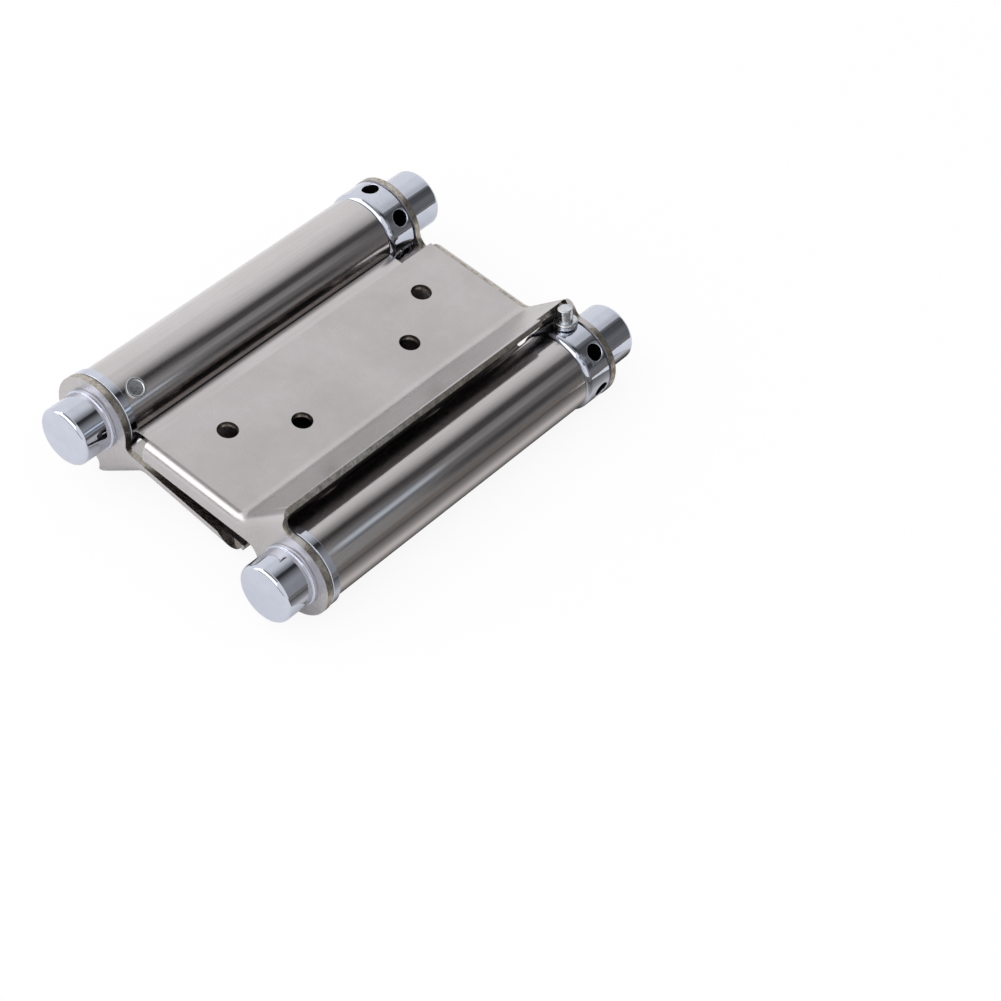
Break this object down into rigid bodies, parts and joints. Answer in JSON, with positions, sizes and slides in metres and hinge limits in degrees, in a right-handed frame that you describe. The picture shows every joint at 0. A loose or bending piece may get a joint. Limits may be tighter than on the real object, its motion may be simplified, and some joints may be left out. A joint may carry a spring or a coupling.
{
  "type": "double action spring hinge",
  "caption": "Spring hinge for a swing door: two sprung barrels on one sheet, each with a flanged leaf with screw holes, turning opposite ways.",
  "frame": {"origin": "centre of the centre sheet, midway between the two barrel axes and between the caps' end faces", "axes": "+X from the left barrel to the right barrel, +Y along the barrels from the fixed end to the tension end, +Z out of the upper leaf's outer face"},
  "size_m": [0.0646, 0.0924, 0.0247],
  "materials": {
    "barrel_steel": "polished lengthwise",
    "leaf_steel": "satin",
    "chrome_trim": "bright chrome plate",
    "zinc_pin": "bright zinc plate",
    "spindle_steel": "drawn",
    "washer_steel": "plain",
    "spring_steel": "oiled black"
  },
  "bodies": {
    "centre": {"barrel_sheet": "barrel_steel", "right_fixed_plug": "chrome_trim", "right_locking_pin": "zinc_pin", "right_torsion_spring": "spring_steel", "left_fixed_plug": "chrome_trim", "left_locking_pin": "zinc_pin", "left_torsion_spring": "spring_steel"},
    "right_wing": {"right_leaf": "leaf_steel", "right_spindle": "spindle_steel", "right_near_cap": "chrome_trim", "right_far_cap": "chrome_trim", "right_thrust_washer": "washer_steel"},
    "right_collar": {"right_tension_collar": "chrome_trim", "right_stop_pin": "zinc_pin"},
    "left_wing": {"left_leaf": "leaf_steel", "left_spindle": "spindle_steel", "left_near_cap": "chrome_trim", "left_far_cap": "chrome_trim", "left_thrust_washer": "washer_steel"},
    "left_collar": {"left_tension_collar": "chrome_trim", "left_stop_pin": "zinc_pin"}
  },
  "joints": [
    {"name": "right_leaf_swing", "type": "hinge", "parent": "centre", "child": "right_wing", "pos_m": [0.024, 0, 0], "axis": [0, 1, 0], "range_deg": [0, 110], "stiffness_Nm_per_rad": 0.4, "springref_deg": -34.38, "deforming": ["right_torsion_spring"]},
    {"name": "right_collar_wind", "type": "hinge", "parent": "right_wing", "child": "right_collar", "pos_m": [0.024, 0, 0], "axis": [0, 1, 0], "range_deg": [0, 60], "stiffness_Nm_per_rad": 0.4, "springref_deg": -34.38, "deforming": ["right_torsion_spring"]},
    {"name": "left_leaf_swing", "type": "hinge", "parent": "centre", "child": "left_wing", "pos_m": [-0.024, 0, 0], "axis": [0, 1, 0], "range_deg": [-5.5, 104.5], "stiffness_Nm_per_rad": 0.4, "deforming": ["left_torsion_spring"]},
    {"name": "left_collar_wind", "type": "hinge", "parent": "left_wing", "child": "left_collar", "pos_m": [-0.024, 0, 0], "axis": [0, 1, 0], "range_deg": [0, 60], "stiffness_Nm_per_rad": 0.4, "springref_deg": -34.38, "deforming": ["left_torsion_spring"]}
  ]
}
